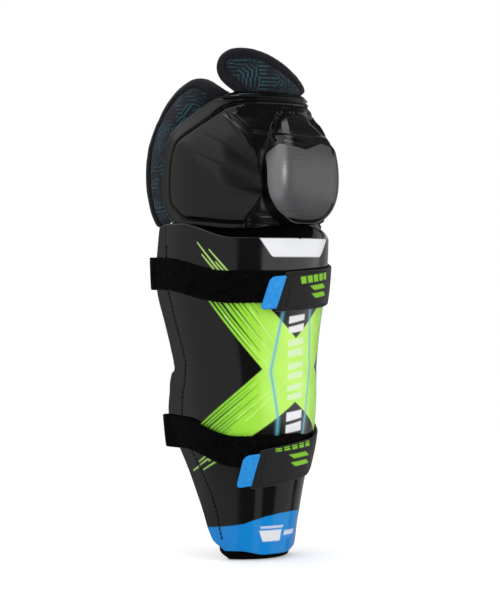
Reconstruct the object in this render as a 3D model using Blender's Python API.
"""Hockey shin guard for the right leg, size 10 inch, as an assembly of separate named pieces.

Frame: metres, +Z up the leg, -Y to the front, +X to the wearer's left (medial side).
The origin is on the flat lower end of the shin liner, at the front centre line.
Design numbers are in drawn millimetres: x and y from the leg axis, z from LINER_LOW_Z below the
liner. Offsets are measured outwards from the shell's outer face, so the layers inside it are
negative. A side position runs from -1 (outer rear edge) through 0 (front) to 1 (inner rear edge).
"""
import math

import bmesh
import bpy
import numpy as np
from mathutils import Vector

# ---- scale and layers ----
REAL_SIZE = 1.04            # real size / drawn size: 254 mm from the knee centre to the lower end
MM = 0.001 * REAL_SIZE
LINER_LOW_Z = 4.4
SHELL_WALL = 2.4
FOAM_OUT, FOAM_IN = -3.2, -9.0
LINING_OUT, LINING_IN = -9.6, -10.7
SEWN_ON = LINING_IN - 0.9   # outer face of pieces sewn to the leg side of the lining
SIDES = (("lateral", -1), ("medial", 1))

# ---- measured outlines ----
# z, front radius, centre of that radius (y), rear edge (y)
SHIN = [
    (2, 33.5, -1.4, -21.0), (7, 33.6, -1.4, -19.5), (11, 34.0, -1.6, -16.0),
    (15, 34.4, -2.0, -11.0), (20, 34.8, -2.2, -8.2), (34, 36.3, -3.2, -3.8),
    (46, 38.0, -3.6, 0.5), (60, 40.4, -4.0, 5.4), (74, 43.3, -4.3, 11.0),
    (84, 44.8, -4.2, 16.4), (95, 46.0, -4.1, 19.0), (106, 46.7, -3.8, 18.0),
    (117, 47.0, -3.5, 14.8), (126, 47.5, -2.9, 11.9), (139, 49.8, -1.0, 12.5),
    (154, 52.4, 0.4, 14.9), (176, 56.0, 1.0, 18.7), (190, 56.9, 0.5, 18.4),
    (205, 57.2, 0.0, 16.2), (214, 57.4, 0.0, 14.6), (226, 57.5, 0.0, 11.0),
]
KNEE = [
    (210, 52.0, 0.0, -2.0), (214, 52.2, 0.0, 2.5), (219.6, 52.8, 0.0, 7.9),
    (225, 54.0, 0.0, 11.2), (231, 54.8, 0.0, 13.0), (240, 55.4, 0.0, 13.4),
    (249, 55.7, 0.0, 12.8), (258, 55.4, 0.0, 12.2), (266, 54.6, 0.0, 11.0),
    (278, 52.0, 0.2, 6.0), (286.5, 48.0, 0.5, -4.4), (292, 45.2, 0.4, -11.0),
    (296.9, 43.2, 0.0, -17.8), (300.6, 42.2, -0.5, -26.0), (303.6, 41.5, -1.5, -32.5),
    (312, 41.5, -1.5, -34.0),
]
RADIUS, REAR = 1, 3         # columns of the two tables above
# z, radius of the padding behind and above the knee cap
PADDING = [
    (205, 50.5), (226, 52.6), (249, 54.2), (267, 52.7), (281, 49.4), (295, 47.0),
    (306, 45.4), (313, 44.2), (336, 43.8),
]
# y, z of the far edge of the padded wing on each side of the knee, from its top down
LATERAL_WING_EDGE = [
    (-12.0, 309.2), (-6.0, 310.8), (0.5, 310.0), (12.3, 304.5), (23.5, 294.0), (30.5, 281.5),
    (33.0, 267.0), (33.4, 250.0), (32.8, 238.0), (30.8, 227.0), (25.5, 216.5),
]
MEDIAL_WING_EDGE = [
    (-2.0, 298.8), (3.0, 297.8), (9.0, 294.6), (16.0, 288.5), (22.0, 280.0), (26.0, 269.0),
    (28.0, 257.0), (28.6, 245.0), (28.0, 234.0), (26.0, 225.0), (21.0, 216.5),
]
# top edge of the thigh flap: angle in degrees from the front (negative is the outer side), z
FLAP_TOP = [
    (-60, 308.6), (-63, 314.0), (-62, 320.0), (-57, 325.0), (-50, 328.0), (-42, 329.2),
    (-31, 328.4), (-18, 325.2), (-4, 319.6), (9, 313.6), (19, 309.2), (25, 307.0),
]

# material: base colour, roughness
MATERIALS = {
    "shell": ((0.012, 0.012, 0.013, 1), 0.12),
    "foam": ((0.03, 0.03, 0.035, 1), 0.9),
    "lining": ((0.02, 0.045, 0.07, 1), 0.85),
    "webbing": ((0.012, 0.012, 0.014, 1), 0.9),
    "hook": ((0.02, 0.02, 0.02, 1), 0.8),
    "tab": ((0.03, 0.27, 0.75, 1), 0.45),
    "thread": ((0.008, 0.008, 0.008, 1), 0.7),
    "label": ((0.75, 0.76, 0.78, 1), 0.6),
}


# ---- curves ----
def interpolate(rows, column, z):
    """Smooth value from a table, by a Hermite curve through its rows."""
    knots = np.array([row[0] for row in rows], float)
    values = np.array([row[column] for row in rows], float)
    slope = np.gradient(values, knots)
    z = np.clip(np.asarray(z, float), knots[0], knots[-1])
    i = np.clip(np.searchsorted(knots, z, side="right") - 1, 0, len(knots) - 2)
    gap = knots[i + 1] - knots[i]
    t = (z - knots[i]) / gap
    return ((2 * t**3 - 3 * t**2 + 1) * values[i] + (t**3 - 2 * t**2 + t) * gap * slope[i]
            + (-2 * t**3 + 3 * t**2) * values[i + 1] + (t**3 - t**2) * gap * slope[i + 1])


def section(rows, z):
    """Radius, centre and rear edge of the U section at height z."""
    return tuple(interpolate(rows, column, z) for column in (1, 2, 3))


def step(value, low, high):
    """Smooth rise from 0 at low to 1 at high."""
    t = np.clip((value - low) / (high - low), 0, 1)
    return t * t * (3 - 2 * t)


def points(x, y, z):
    return np.stack([x, y, np.broadcast_to(z, x.shape)], -1)


def wrap(radius, centre, arc, offset, z):
    """Points on a U section; arc is the length from the front centre line at zero offset."""
    quarter = radius * math.pi / 2
    length = np.abs(arc)
    angle = np.minimum(length, quarter) / radius
    x = np.sign(arc) * (radius + offset) * np.sin(angle)
    y = centre - (radius + offset) * np.cos(angle) + np.maximum(length - quarter, 0)
    return points(x, y, z)


def half_length(radius, centre, rear):
    """Arc length from the front centre line to the rear edge of a U section."""
    straight = rear - centre
    angle = np.arccos(np.clip(-straight / radius, -1, 1))
    return np.where(straight >= 0, radius * math.pi / 2 + straight, radius * angle)


def shin(side, z, offset, extra=0.0):
    """Points of the shin section; extra lengthens each half past the shell's rear edge."""
    radius, centre, rear = section(SHIN, z)
    arc = side * (half_length(radius, centre, rear) + extra)
    return wrap(radius, centre, arc, offset, z)


def knee(side, z, offset, bulge=False):
    """Points of the knee section, with or without the cap's front bulge."""
    radius, centre, rear = section(KNEE, z)
    arc = side * half_length(radius, centre, rear)
    if bulge:
        angle = np.minimum(np.abs(arc) / radius, math.pi)
        offset = offset + bulge_radius(angle, z, radius, centre) - radius
    return wrap(radius, centre, arc, offset, z)


BULGE_CENTRE_Y, BULGE_CENTRE_Z = -56.0, 247.0
BULGE_HALF_WIDTH, BULGE_HALF_DEPTH = 25.4, 17.8
BULGE_BELOW, BULGE_ABOVE = 30.5, 42.0   # its heights below and above its centre
BULGE_LEAN = 8.0                        # setback of its centre towards the top
BULGE_SQUARENESS = 3.5                  # exponent of its rounded square section
BULGE_BLEND = 4.0                       # softness of its join with the plain cap


def bulge_radius(angle, z, radius, centre):
    """Radius of the knee cap's outer face, with its squarish front bulge and steep sides."""
    below = z < BULGE_CENTRE_Z
    height = (z - BULGE_CENTRE_Z) / np.where(below, BULGE_BELOW, BULGE_ABOVE)
    power = np.where(below, 2.5, 2.0)
    size = np.maximum(1 - np.abs(height) ** power, 1e-4) ** (1 / power)
    reach = -BULGE_CENTRE_Y + centre - BULGE_LEAN * step(height, 0.45, 1.0)

    def level(r):
        """Below 1 inside the bulge's section, above 1 outside."""
        across = r * np.sin(angle) / (BULGE_HALF_WIDTH * size)
        along = (r * np.cos(angle) - reach) / (BULGE_HALF_DEPTH * size)
        total = np.abs(across) ** BULGE_SQUARENESS + np.abs(along) ** BULGE_SQUARENESS
        return total ** (1 / BULGE_SQUARENESS)

    # bisect along the ray, outwards from its nearest point to the bulge's centre
    nearest = reach * np.cos(angle)
    low, high = nearest, nearest * 0 + reach + 40.0
    for _ in range(30):
        half = (low + high) / 2
        inside = level(half) < 1
        low, high = np.where(inside, half, low), np.where(inside, high, half)

    # a ray that misses the bulge falls away with its distance from it
    miss = level(nearest) - 1
    far = np.where(miss > 0, nearest - 4 * miss * BULGE_HALF_WIDTH * size, high)
    far = np.where(np.abs(height) < 1, far, 0)
    share = np.clip(0.5 + 0.5 * (far - radius) / BULGE_BLEND, 0, 1)
    return radius * (1 - share) + far * share + BULGE_BLEND * share * (1 - share)


# the leg axis lies this far behind the middle of the liner's front wall at its lower end
LEG_Y = float(interpolate(SHIN, 1, LINER_LOW_Z) - interpolate(SHIN, 2, LINER_LOW_Z)
              + (FOAM_IN + FOAM_OUT) / 2)


# ---- objects ----
def to_metres(x, y, z):
    return Vector((x * MM, (y + LEG_Y) * MM, (z - LINER_LOW_Z) * MM))


def material(kind):
    found = bpy.data.materials.get(kind)
    if found:
        return found
    made = bpy.data.materials.new(kind)
    made.use_nodes = True
    colour, roughness = MATERIALS[kind]
    shader = made.node_tree.nodes["Principled BSDF"]
    shader.inputs["Base Color"].default_value = colour
    shader.inputs["Roughness"].default_value = roughness
    shader.inputs["Metallic"].default_value = 0.0
    made.diffuse_color = colour
    return made


def add(name, bm, kind):
    """Object from a bmesh in design numbers."""
    bmesh.ops.recalc_face_normals(bm, faces=bm.faces)
    for vert in bm.verts:
        vert.co = to_metres(*vert.co)
    mesh = bpy.data.meshes.new(name)
    bm.to_mesh(mesh)
    bm.free()
    mesh.shade_smooth()
    mesh.set_sharp_from_angle(angle=math.radians(40))
    mesh.materials.append(material(kind))
    made = bpy.data.objects.new(name, mesh)
    bpy.context.scene.collection.objects.link(made)
    return made


def new_verts(bm, rows):
    return [[bm.verts.new(point) for point in row] for row in rows]


def grid_faces(bm, rows, closed=False):
    for row, following in zip(rows, rows[1:]):
        count = len(row)
        for j in range(count if closed else count - 1):
            k = (j + 1) % count
            bm.faces.new((row[j], row[k], following[k], following[j]))


def slab(name, outer, inner, kind):
    """Closed solid between two grids of points that match."""
    bm = bmesh.new()
    top, low = new_verts(bm, outer), new_verts(bm, inner)
    grid_faces(bm, top)
    grid_faces(bm, low)
    for end in (0, -1):
        grid_faces(bm, [top[end], low[end]])
    for end in (0, -1):
        grid_faces(bm, [[row[end] for row in top], [row[end] for row in low]])
    add(name, bm, kind)


def layer(name, surface, outer, inner, across, along, kind):
    """Slab between two offsets of surface(u, v, offset)."""
    u, v = np.meshgrid(across, along, indexing="ij")
    slab(name, surface(u, v, outer), surface(u, v, inner), kind)


def rope(name, path, radius, kind, sides):
    """Cord of polygonal section along a path, with flat ends."""
    tangent = np.gradient(path, axis=0)
    tangent /= np.linalg.norm(tangent, axis=1)[:, None]
    normal = np.cross(tangent, (0.0, 0.0, 1.0))
    poor = np.linalg.norm(normal, axis=1) < 0.05
    normal[poor] = np.cross(tangent[poor], (0.0, 1.0, 0.0))
    for i in range(1, len(normal)):       # keep the frame from turning over
        if np.dot(normal[i], normal[i - 1]) < 0:
            normal[i] = -normal[i]
    normal /= np.linalg.norm(normal, axis=1)[:, None]
    binormal = np.cross(tangent, normal)
    turns = [k * math.tau / sides for k in range(sides)]
    bm = bmesh.new()
    rings = new_verts(bm, [
        [centre + radius * (math.cos(turn) * first + math.sin(turn) * second) for turn in turns]
        for centre, first, second in zip(path, normal, binormal)
    ])
    grid_faces(bm, rings, closed=True)
    bm.faces.new(rings[0])
    bm.faces.new(rings[-1])
    add(name, bm, kind)


def hinge(name, point, pieces, parent=None):
    """Empty at a design point that carries its pieces; a parent must itself be a root."""
    place = to_metres(*point)
    empty = bpy.data.objects.new(name, None)
    empty.empty_display_size = 0.02
    bpy.context.scene.collection.objects.link(empty)
    empty.location = place
    if parent:
        empty.parent = parent
        empty.location = place - parent.location
    for piece in pieces:
        carried = bpy.data.objects[piece]
        for vertex in carried.data.vertices:
            vertex.co = vertex.co - place
        carried.parent = empty
    return empty


# ---- shin ----
SHIN_TOP_Z, SHIN_BOTTOM_Z = 209.5, 6.4
LINER_TOP_Z = 207.0
LINER_EXTRA = -0.6          # liner's rear edge, past the shell's rear edge
SHELL_ROWS = [0, 0.02, 0.045, 0.085, 0.15, 0.21, 0.27, 0.33, 0.38, 0.43, 0.50, 0.57, 0.64,
              0.71, 0.79, 0.87, 0.94, 1.0]
LINER_ROWS = [0, 0.03, 0.06, 0.10, 0.16, 0.22, 0.28, 0.34, 0.39, 0.45, 0.52, 0.60, 0.68,
              0.77, 0.88, 1.0]
PAD_ROWS = [0, 0.08, 0.25, 0.5, 0.75, 0.92, 1.0]
PAD_LOW_Z, PAD_HEIGHT = 34.0, 142.0
PAD_START, PAD_SPAN = 0.14, 0.36        # side positions
PAD_IN = -16.0
BINDING_RADIUS, BINDING_OVERHANG = 2.2, 3.3
SHIN_SEAM_RADIUS, SHIN_SEAM_OFFSET = 0.3, 0.65
NECK_RADIUS, NECK_HALF_ANGLE = 57.2, math.radians(78)
NECK_OUT, NECK_IN = -9.9, -12.0
NECK_LOW_Z, NECK_HEIGHT = 197.5, 22.5
LABEL_LOW_Z, LABEL_HEIGHT = 178.0, 14.0
LABEL_START, LABEL_SPAN = 0.60, 0.20    # side positions


def build_shin_shell():
    def surface(side, rise, offset):
        away = np.abs(side)
        top = SHIN_TOP_Z + 9.0 * step(away, 0.42, 0.80) - 5.0 * step(away, 0.90, 1.0)
        bottom = SHIN_BOTTOM_Z + 2.6 * step(away, 0.3, 0.7)
        return shin(side, bottom + (top - bottom) * rise, offset)

    layer("shin_shell", surface, 0, -SHELL_WALL, np.linspace(-1, 1, 27), SHELL_ROWS, "shell")


def build_liner(name, outer, inner, low, drop, kind):
    """Foam or lining; low is its lower edge, drop how far its top lies below the foam's."""
    def surface(side, rise, offset):
        top = LINER_TOP_Z - 8.0 * step(np.abs(side), 0.45, 0.62) - drop
        return shin(side, low + (top - low) * rise, offset, extra=LINER_EXTRA)

    layer(name, surface, outer, inner, np.linspace(-1, 1, 21), LINER_ROWS, kind)


def build_shin_pad(name, sign):
    """Long pad beside the shin bone, on the leg side of the lining, thinner at its rim."""
    def surface(u, v, offset):
        rim = np.minimum(np.minimum(u, 1 - u) * 5, np.minimum(v, 1 - v) * 12)
        depth = SEWN_ON + (offset - SEWN_ON) * (0.35 + 0.65 * np.minimum(rim, 1))
        return shin(sign * (PAD_START + PAD_SPAN * u), PAD_LOW_Z + PAD_HEIGHT * v, depth)

    layer(name, surface, SEWN_ON, PAD_IN, np.linspace(0, 1, 6), PAD_ROWS, "lining")


def build_shin_binding(name, sign):
    """Edge binding along a rear edge of the liner."""
    path = shin(sign, np.linspace(26, 196, 22), (FOAM_OUT + FOAM_IN) / 2,
                extra=LINER_EXTRA + BINDING_OVERHANG)
    rope(name, path, BINDING_RADIUS, "webbing", sides=6)


def build_shin_seam(name, sign):
    """Seam that holds the shell to the liner; its inset from the rear edge shrinks upwards."""
    z = np.linspace(14, 206, 34)
    inset = 15.0 - 2.5 * step(z, 60, 100) - 2.5 * step(z, 150, 195)
    side = sign * (1 - inset / half_length(*section(SHIN, z)))
    rope(name, shin(side, z, SHIN_SEAM_OFFSET), SHIN_SEAM_RADIUS, "thread", sides=4)


def build_neck_gusset():
    """Flexible neck between the shin and the knee."""
    def surface(side, rise, offset):
        radius, angle = NECK_RADIUS + offset, NECK_HALF_ANGLE * side
        return points(radius * np.sin(angle), -radius * np.cos(angle),
                      NECK_LOW_Z + NECK_HEIGHT * rise)

    layer("neck_gusset", surface, NECK_OUT, NECK_IN,
          np.linspace(-1, 1, 17), np.linspace(0, 1, 4), "foam")


def build_size_label():
    """Size label sewn to the lining."""
    def surface(u, v, offset):
        return shin(LABEL_START + LABEL_SPAN * u, LABEL_LOW_Z + LABEL_HEIGHT * v, offset)

    layer("size_label", surface, LINING_IN - 0.8, LINING_IN - 1.3,
          np.linspace(0, 1, 4), np.linspace(0, 1, 3), "label")


def build_shin():
    build_shin_shell()
    build_liner("shin_foam", FOAM_OUT, FOAM_IN, low=LINER_LOW_Z, drop=0, kind="foam")
    build_liner("shin_lining", LINING_OUT, LINING_IN, low=LINER_LOW_Z + 1.5, drop=11,
                kind="lining")
    for part, build in (("pad", build_shin_pad), ("binding", build_shin_binding),
                        ("seam", build_shin_seam)):
        for side_name, sign in SIDES:
            build(f"shin_{part}_{side_name}", sign)
    build_neck_gusset()
    build_size_label()


# ---- knee ----
KNEE_TOP_Z = 303.6
KNEE_SEAM_RADIUS, KNEE_SEAM_OFFSET, KNEE_SEAM_INSET = 0.35, 1.0, 5.5
KNEE_SEAM_TOP_Z = 298.6
RING_CENTRE_Z = 258.0
RING_STRETCH_ACROSS, RING_STRETCH_UP = 1.15, 1.12
# ring pad's section: distance from the ring's centre, offset
RING_SECTION = [(16.0, -11.3), (29.0, -11.3), (29.5, -13.5), (26.5, -16.3), (19.5, -16.3),
                (16.0, -13.5)]


def build_knee_cap():
    """Open sheet of the cap's outer face, thickened inwards by a modifier."""
    # columns are closer across the bulge, rows closer towards the top
    side = np.concatenate([np.linspace(-1, -0.36, 7)[:-1], np.linspace(-0.36, 0.36, 23),
                           np.linspace(0.36, 1, 7)[1:]])
    rise = np.concatenate([np.linspace(0, 0.62, 10)[:-1], np.linspace(0.62, 1, 9)])
    side, rise = np.meshgrid(side, rise, indexing="ij")
    away = np.abs(side)
    bottom = (217.3 - 2.6 * np.sin(np.clip(away / 0.9, 0, 1) * math.pi) ** 2
              + 2.5 * step(away, 0.85, 1.0))
    z = bottom + (KNEE_TOP_Z - bottom) * rise
    bm = bmesh.new()
    grid_faces(bm, new_verts(bm, knee(side, z, 0, bulge=True)))
    cap = add("knee_cap", bm, "shell")

    # the wall grows against the normals, so they have to point away from the leg
    middle = cap.data.polygons[len(cap.data.polygons) // 2]
    if middle.normal.dot(middle.center - Vector((0, LEG_Y * MM, middle.center.z))) < 0:
        cap.data.flip_normals()
    wall = cap.modifiers.new("wall", "SOLIDIFY")
    wall.thickness = SHELL_WALL * MM
    wall.offset = -1.0
    wall.use_even_offset = False


def build_knee_liner(name, outer, inner, low, high, width, kind):
    """Foam or lining behind the cap; its top falls towards the sides."""
    def surface(side, rise, offset):
        top = high - 9.0 * step(np.abs(side), 0.45, 1.0)
        return knee(side * width, low + (top - low) * rise, offset)

    layer(name, surface, outer, inner, np.linspace(-1, 1, 17), np.linspace(0, 1, 9), kind)


def build_knee_ring_pad():
    """Ring pad around the kneecap, on the leg side of the lining."""
    def ring_point(distance, offset, turn):
        z = RING_CENTRE_Z + RING_STRETCH_UP * distance * math.sin(turn)
        radius, centre, _ = section(KNEE, z)
        arc = RING_STRETCH_ACROSS * distance * math.cos(turn)
        return wrap(radius, centre, arc, offset, z)

    bm = bmesh.new()
    loops = new_verts(bm, [[ring_point(distance, offset, k * math.tau / 24)
                            for distance, offset in RING_SECTION] for k in range(24)])
    grid_faces(bm, loops + [loops[0]], closed=True)
    add("knee_ring_pad", bm, "lining")


def build_knee_seam():
    """Seam round the knee cap's rim: up the outer side, across the top, down the inner side."""
    z = np.linspace(222, 294.5, 22)
    side = 1 - KNEE_SEAM_INSET / half_length(*section(KNEE, z))
    path = np.concatenate([
        knee(-side, z, KNEE_SEAM_OFFSET, bulge=True),
        knee(np.linspace(-0.78, 0.78, 15), KNEE_SEAM_TOP_Z, KNEE_SEAM_OFFSET, bulge=True),
        knee(side, z, KNEE_SEAM_OFFSET, bulge=True)[::-1],
    ])
    rope("knee_seam", path, KNEE_SEAM_RADIUS, "thread", sides=4)


def build_knee():
    build_knee_cap()
    build_knee_liner("knee_foam", -3.6, -9.0, low=231, high=296, width=0.95, kind="foam")
    build_knee_liner("knee_lining", -9.5, -10.5, low=232, high=294, width=0.93, kind="lining")
    build_knee_ring_pad()
    build_knee_seam()


# ---- padded wings beside the knee ----
WING_LOW_Z = 219.0
WING_RIM_GAP = 1.8          # between the cap's rim and the wing
WING_NEAR_INSET = 3.0       # panel's inset at the edge by the cap
WING_POINTS = 16
WING_PAD_FACES = (-0.6, -9.0)       # outer, inner offsets
WING_PANEL_FACES = (0.6, -0.2)


def resample(outline, count):
    """Evenly spaced points along a polyline."""
    outline = np.array(outline, float)
    lengths = np.linalg.norm(np.diff(outline, axis=0), axis=1)
    run = np.concatenate([[0], np.cumsum(lengths)])
    places = np.linspace(0, run[-1], count)
    return np.stack([np.interp(places, run, outline[:, k]) for k in (0, 1)], -1)


def between(start, end, count):
    """Grid of points in count steps from one edge to the other."""
    share = np.linspace(0, 1, count)[None, :, None]
    grid = start[:, None] * (1 - share) + end[:, None] * share
    return grid[..., 0], grid[..., 1]


def wing_near_edge(top_z):
    """Side view (y, z) of the cap's rim from top_z down, moved back by the gap."""
    z = np.linspace(top_z, WING_LOW_Z, 80)
    rim = np.stack([interpolate(KNEE, REAR, z), z], -1)
    tangent = np.gradient(rim, axis=0)
    tangent /= np.linalg.norm(tangent, axis=1)[:, None]
    normal = np.stack([-tangent[:, 1], tangent[:, 0]], -1)
    normal *= np.sign(normal[:, :1] + 1e-9)
    return resample(rim + WING_RIM_GAP * normal, WING_POINTS)


def build_wing(name, sign, edge, top_z, faces, kind, inset=0.0):
    """Wing layer; an inset layer stops short of the pad's edges all round."""
    near, far = wing_near_edge(top_z), resample(edge, WING_POINTS)
    if inset:
        reach = far - near
        direction = reach / np.linalg.norm(reach, axis=1)[:, None]
        near = (near + direction * WING_NEAR_INSET)[2:-2]
        far = (far - direction * inset)[2:-2]
    y, z = between(near, far, 4)

    def surface(offset):
        radius = interpolate(PADDING, 1, z) + offset
        x = np.where(y < 0, np.sqrt(np.maximum(radius**2 - y**2, 1.0)), radius)
        return points(sign * x, y, z)

    slab(name, *(surface(offset) for offset in faces), kind)


def build_wings():
    for side_name, sign, edge, top_z, inset in (
        ("lateral", -1, LATERAL_WING_EDGE, 297.0, 4.5),
        ("medial", 1, MEDIAL_WING_EDGE, 290.0, 4.0),
    ):
        build_wing(f"{side_name}_wing_pad", sign, edge, top_z, WING_PAD_FACES, "foam")
        build_wing(f"{side_name}_wing_panel", sign, edge, top_z, WING_PANEL_FACES, "lining",
                   inset)


# ---- thigh flap ----
FLAP_BASE_Z = 305.8
FLAP_CENTRE_Y = -1.0
FLAP_POINTS = 18
FLAP_PANEL_TOP_INSET = 4.0
FLAP_PANEL_MARGIN = 1.5     # panel above the flap's base, and its least height
FLAP_PANEL_MIDDLE, FLAP_PANEL_SHARE = -13, 0.88     # angle it narrows about, width kept


def flap_base(start, end, z):
    return np.stack([np.linspace(start, end, FLAP_POINTS), np.full(FLAP_POINTS, z)], -1)


def flap_slab(name, low, top, outer, inner, kind):
    """Curved sheet between two edges of (angle, z) points and two radii."""
    angle, z = between(low, top, 5)
    angle = np.radians(angle)
    faces = [points(radius * np.sin(angle), FLAP_CENTRE_Y - radius * np.cos(angle), z)
             for radius in (outer, inner)]
    slab(name, *faces, kind)


def build_thigh_flap():
    top = resample(FLAP_TOP, FLAP_POINTS)
    flap_slab("thigh_flap_pad", flap_base(-56, 24, FLAP_BASE_Z), top, 43.0, 34.0, "foam")

    low = flap_base(-51, 12, FLAP_BASE_Z + FLAP_PANEL_MARGIN)
    angle = np.clip(top[:, 0], -55, 30)
    angle = FLAP_PANEL_MIDDLE + (angle - FLAP_PANEL_MIDDLE) * FLAP_PANEL_SHARE
    z = np.maximum(top[:, 1] - FLAP_PANEL_TOP_INSET, low[:, 1] + FLAP_PANEL_MARGIN)
    flap_slab("thigh_flap_panel", low, np.stack([angle, z], -1), 44.2, 43.4, "lining")


# ---- joints ----
WING_AXIS_X, WING_AXIS_Y, WING_AXIS_Z = 48.0, -1.0, 257.5


def build_joints():
    """The knee's axis carries the cap, and the axes of the flap and the wings."""
    knee_axis = hinge("knee_axis", (0.0, 0.0, 216.0),
                      ["knee_cap", "knee_foam", "knee_lining", "knee_ring_pad", "knee_seam"])
    hinge("thigh_flap_axis", (-9.97, -33.6, 305.2), ["thigh_flap_pad", "thigh_flap_panel"],
          knee_axis)
    for side_name, sign in SIDES:
        hinge(f"{side_name}_wing_axis", (sign * WING_AXIS_X, WING_AXIS_Y, WING_AXIS_Z),
              [f"{side_name}_wing_pad", f"{side_name}_wing_panel"], knee_axis)


# ---- straps ----
# A place round a strap is the angle in degrees from the front centre line up to 90,
# then 90 to 100 along the straight side to the shell's rear edge; negative is the outer side.
STRAP_WALL, STRAP_WIDTH, TAB_WIDTH = 1.6, 20.0, 25.0
PATCH_WIDTH = TAB_WIDTH - 4     # hook patch and pull tab
STRAP_GAP = 1.25                # clearance over the shell, which leaves room for the seams
TAB_START = 97.0                # place where the rear strap ends and the hook tab starts
TAB_BEND = 45                   # place where the hook tab's slope changes
TAB_RISE = 2.7                  # extra lift where the hook tab crosses the loop strip
PULL_TAB_SWEEP = 12.359         # degrees
REAR_CLEARANCE = 5.8            # rear strap behind the shell's rear edge
REAR_BOW = 6.0
REAR_TURN = 6.5                 # inner radius of the rear strap's corner
REAR_TAB_OVERLAP = 0.8


def strap_point(place, z, offset):
    radius, centre, rear = section(SHIN, z)
    angle = np.radians(np.minimum(np.abs(place), 90))
    back = np.maximum(np.abs(place) - 90, 0) / 10 * (rear - centre)
    x = np.sign(place) * (radius + offset) * np.sin(angle)
    return points(x, centre - (radius + offset) * np.cos(angle) + back, z)


def band(name, places, middle, width, lift, thickness, kind, across=5):
    """Band over the shell: middle(place) is its height, lift its clearance at each place."""
    place, shift = np.meshgrid(places, np.linspace(-0.5, 0.5, across) * width, indexing="ij")
    z = middle(place) + shift
    slab(name, strap_point(place, z, lift + thickness), strap_point(place, z, lift), kind)


def build_strap_anchor(name, z):
    """Patch on the leg side of the lining, by the outer rear edge."""
    def surface(share, shift, offset):
        return shin(-1.0 + 0.12 * share, z + shift, offset, extra=-1.5)

    layer(name, surface, SEWN_ON, LINING_IN - 2.2, np.linspace(0, 1, 4), (-9.0, 0.0, 9.0),
          "webbing")


def build_rear_strap(name, rear_z, back_y):
    """Elastic band behind the calf, then round the inner edge to the start of the hook tab."""
    def row(z, offset):
        side_x, side_y, _ = strap_point(TAB_START, z, STRAP_GAP)
        turn_x = side_x - REAR_TURN
        radius = REAR_TURN + offset
        back = [(k * turn_x, back_y + REAR_BOW * (1 - k * k) + offset, z)
                for k in np.linspace(-1, 1, 15)]
        corner = [(turn_x + radius * math.sin(angle),
                   back_y - REAR_TURN + radius * math.cos(angle), z)
                  for angle in np.radians(np.linspace(15, 90, 6))]
        return back + corner + [(side_x + offset, side_y + REAR_TAB_OVERLAP, z)]

    heights = [rear_z + share * (STRAP_WIDTH + 1) for share in (-0.5, 0.0, 0.5)]
    slab(name, [row(z, STRAP_WALL) for z in heights], [row(z, 0.0) for z in heights], "webbing")


def build_strap(level, front_z, rear_z, tab_side_z, tab_end_z, tab_end):
    """Strap with its hook tab, which ends at tab_end degrees on the outer side."""
    def strip_z(place):
        return front_z + (rear_z - front_z) * step(np.abs(place), 48, 98)

    def tab_z(place):
        behind = tab_side_z + (rear_z - tab_side_z) * step(place, TAB_BEND, 98)
        ahead = (tab_end_z
                 + (tab_side_z - tab_end_z) * (place + tab_end) / (TAB_BEND + tab_end))
        return np.where(place > TAB_BEND, behind, ahead)

    # loop strip, fixed to the shell from the outer rear edge to under the hook tab
    band(f"{level}_loop_strip", np.linspace(-101, 14, 24), strip_z, STRAP_WIDTH,
         lift=STRAP_GAP, thickness=STRAP_WALL - 0.1, kind="webbing", across=4)
    build_strap_anchor(f"{level}_strap_anchor", rear_z)
    back_y = REAR_CLEARANCE + max(
        float(interpolate(SHIN, REAR, rear_z + shift)) for shift in (-11, 0, 11))
    build_rear_strap(f"{level}_rear_strap", rear_z, back_y)

    # hook tab, from the inner edge forward over the loop strip
    places = np.linspace(TAB_START, -tab_end, 21)
    tab_lift = STRAP_GAP + TAB_RISE * (1 - step(places, 15, 42))
    band(f"{level}_hook_tab", places, tab_z, TAB_WIDTH,
         lift=tab_lift[:, None], thickness=1.4, kind="webbing", across=4)
    band(f"{level}_hook_patch", np.linspace(12, -tab_end + 2, 9), tab_z, PATCH_WIDTH,
         lift=3.05, thickness=0.5, kind="hook")
    pull_start = -tab_end - 0.5
    band(f"{level}_pull_tab", np.linspace(pull_start, pull_start - PULL_TAB_SWEEP, 5), tab_z,
         PATCH_WIDTH, lift=3.4, thickness=1.8, kind="tab")

    # the rear strap turns at the outer edge, the hook tab at the inner edge
    x, _, _ = strap_point(-TAB_START, rear_z, STRAP_GAP)
    rear_axis = hinge(f"{level}_rear_axis", (x + REAR_TURN, back_y + STRAP_WALL / 2, rear_z),
                      [f"{level}_rear_strap"])
    x, y, _ = strap_point(TAB_START, rear_z, STRAP_GAP + STRAP_WALL + 0.15)
    hinge(f"{level}_tab_axis", (x, y + 0.4, rear_z),
          [f"{level}_hook_tab", f"{level}_hook_patch", f"{level}_pull_tab"], rear_axis)


for old in list(bpy.data.objects):
    bpy.data.objects.remove(old, do_unlink=True)

build_shin()
build_knee()
build_wings()
build_thigh_flap()
build_joints()
build_strap("upper", front_z=178.3, rear_z=186.5, tab_side_z=179.0, tab_end_z=175.0, tab_end=16)
build_strap("lower", front_z=74.0, rear_z=85.0, tab_side_z=72.0, tab_end_z=62.5, tab_end=33)
